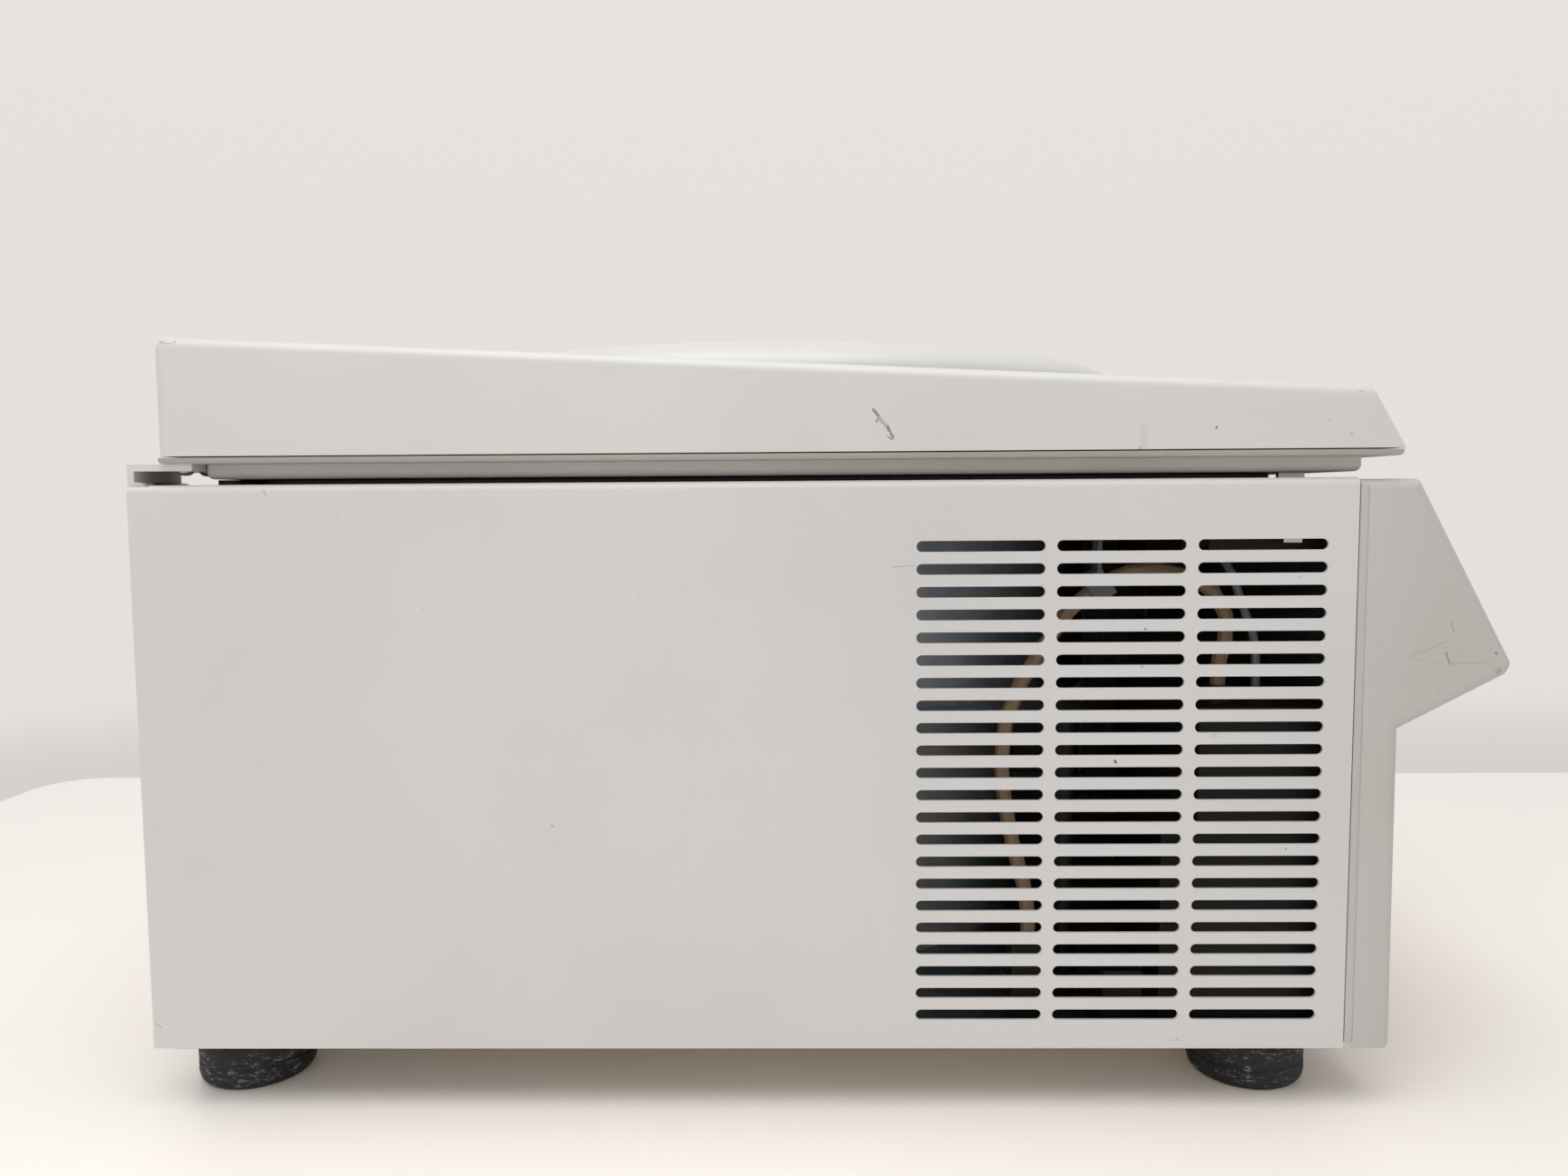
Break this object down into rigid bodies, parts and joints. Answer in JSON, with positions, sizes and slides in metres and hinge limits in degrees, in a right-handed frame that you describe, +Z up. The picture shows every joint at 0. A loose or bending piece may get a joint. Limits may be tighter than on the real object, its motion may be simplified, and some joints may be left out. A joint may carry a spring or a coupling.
{
  "type": "microplate centrifuge",
  "caption": "Benchtop microplate centrifuge with louvred sides, sloping front console and a rear-hinged domed lid over a swing-out plate rotor.",
  "frame": {"origin": "centre of the footprint on the bench surface, under the middle of the overall length and width", "axes": "+Z up, front towards -Y, +X to the machine's right as seen from the front"},
  "size_m": [0.48, 0.6055, 0.35],
  "materials": {
    "casing_paint": "fine satin powder coat, warm light grey",
    "zinc_sheet": "plain zinc-plated sheet",
    "console_moulding": "fine-textured moulded shell, warm grey",
    "overlay_film": "satin polyester film",
    "display_glass": "smooth dark window",
    "circuit_board": "solder-masked board",
    "button_green": "satin push button",
    "button_red": "satin push button",
    "button_grey": "satin push button",
    "foot_rubber": "scuffed black rubber",
    "seal_rubber": "soft black rubber",
    "screw_steel": "zinc-plated screws",
    "bowl_steel": "spun stainless steel",
    "guard_steel": "rolled and zinc-plated steel",
    "black_paint": "black painted sheet steel",
    "shroud_steel": "blue-grey sheet steel",
    "motor_aluminium": "cast housing, dark coating",
    "winding_metal": null,
    "shaft_steel": "ground bright steel",
    "rotor_aluminium": "clear-anodised",
    "carrier_aluminium": "blue-anodised",
    "dark_plastic": "black moulded plastic",
    "lid_moulding": "satin moulded cover, warm light grey",
    "tray_moulding": "smooth moulded tray",
    "liner_moulding": "smooth moulded liner",
    "hinge_steel": "zinc-plated bent steel",
    "cable_jacket": "smooth beige cable jacket",
    "latch_jacket": "smooth light grey cable jacket",
    "clip_plastic": "grey moulded plastic"
  },
  "bodies": {
    "base": {"casing": "casing_paint", "base_pan": "zinc_sheet", "rear_panel": "casing_paint", "front_bulkhead": "zinc_sheet", "front_console": "console_moulding", "control_overlay": "overlay_film", "display_window": "display_glass", "control_board": "circuit_board", "foot_front_left": "foot_rubber", "foot_front_right": "foot_rubber", "foot_rear_left": "foot_rubber", "foot_rear_right": "foot_rubber", "foot_screws": "screw_steel", "deck_gasket": "seal_rubber", "lid_bumpers": "seal_rubber", "bowl": "bowl_steel", "guard_ring": "guard_steel", "chamber_plate": "guard_steel", "chamber_posts": "guard_steel", "drive_shroud": "shroud_steel", "motor_plate": "guard_steel", "motor_dampers": "seal_rubber", "motor_housing": "motor_aluminium", "motor_winding": "winding_metal", "motor_bearings": "shaft_steel", "shaft_seal": "seal_rubber", "hinge_mounts": "hinge_steel", "hinge_pins": "shaft_steel", "latch_guides": "dark_plastic", "latch_motor": "dark_plastic", "drive_box": "dark_plastic", "drive_bracket": "black_paint", "drive_cable": "cable_jacket", "latch_cable": "latch_jacket", "cable_clip": "clip_plastic", "terminal_blocks": "clip_plastic", "fan_frame": "dark_plastic", "power_entry": "dark_plastic", "case_screws": "screw_steel"},
    "lid": {"lid_cover": "lid_moulding", "lid_tray": "tray_moulding", "lid_liner": "liner_moulding", "lid_strikers": "shaft_steel", "hinge_bracket_left": "casing_paint", "hinge_bracket_right": "casing_paint", "hinge_screws": "screw_steel"},
    "rotor": {"drive_shaft": "shaft_steel", "motor_core": "shaft_steel", "rotor_yoke": "rotor_aluminium"},
    "carrier_front": {"carrier_front": "carrier_aluminium"},
    "carrier_rear": {"carrier_rear": "carrier_aluminium"},
    "rotor_nut": {"rotor_nut": "dark_plastic"},
    "latch": {"latch_bar": "shaft_steel"},
    "fan": {"fan_impeller": "dark_plastic"},
    "start_button": {"start_button": "button_green"},
    "stop_button": {"stop_button": "button_red"},
    "pulse_button": {"pulse_button": "button_grey"},
    "lid_button": {"lid_button": "button_grey"},
    "mains_switch": {"mains_switch": "dark_plastic"},
    "fuse_drawer": {"fuse_drawer": "dark_plastic"}
  },
  "joints": [
    {"name": "lid_hinge", "type": "hinge", "parent": "base", "child": "lid", "pos_m": [0, 0.29892, 0.2795], "axis": [-1, 0, 0], "range_deg": [0, 80]},
    {"name": "rotor_spin", "type": "hinge", "parent": "base", "child": "rotor", "pos_m": [0, 0.02433, 0.2], "axis": [0, 0, 1], "continuous": true},
    {"name": "carrier_front_swing", "type": "hinge", "parent": "rotor", "child": "carrier_front", "pos_m": [0, -0.06367, 0.234], "axis": [-1, 0, 0], "range_deg": [0, 90]},
    {"name": "carrier_rear_swing", "type": "hinge", "parent": "rotor", "child": "carrier_rear", "pos_m": [0, 0.11233, 0.234], "axis": [1, 0, 0], "range_deg": [0, 90]},
    {"name": "rotor_nut_turn", "type": "hinge", "parent": "rotor", "child": "rotor_nut", "pos_m": [0, 0.02433, 0.255], "axis": [0, 0, 1], "continuous": true},
    {"name": "latch_slide", "type": "slide", "parent": "base", "child": "latch", "axis": [1, 0, 0], "range_m": [0, 0.008]},
    {"name": "fan_spin", "type": "hinge", "parent": "base", "child": "fan", "pos_m": [0.095, 0.28432, 0.105], "axis": [0, 1, 0], "continuous": true},
    {"name": "start_button_press", "type": "slide", "parent": "base", "child": "start_button", "axis": [0, 0.8846, -0.4663], "range_m": [0, 0.0012], "stiffness_N_per_m": 600, "springref_m": -0.0008},
    {"name": "stop_button_press", "type": "slide", "parent": "base", "child": "stop_button", "axis": [0, 0.8846, -0.4663], "range_m": [0, 0.0012], "stiffness_N_per_m": 600, "springref_m": -0.0008},
    {"name": "pulse_button_press", "type": "slide", "parent": "base", "child": "pulse_button", "axis": [0, 0.8846, -0.4663], "range_m": [0, 0.0012], "stiffness_N_per_m": 600, "springref_m": -0.0008},
    {"name": "lid_button_press", "type": "slide", "parent": "base", "child": "lid_button", "axis": [0, 0.8846, -0.4663], "range_m": [0, 0.0012], "stiffness_N_per_m": 600, "springref_m": -0.0008},
    {"name": "mains_switch_rock", "type": "hinge", "parent": "base", "child": "mains_switch", "pos_m": [-0.13, 0.29207, 0.098], "axis": [1, 0, 0], "range_deg": [-8, 8]},
    {"name": "fuse_drawer_slide", "type": "slide", "parent": "base", "child": "fuse_drawer", "axis": [0, 1, 0], "range_m": [0, 0.016]}
  ]
}
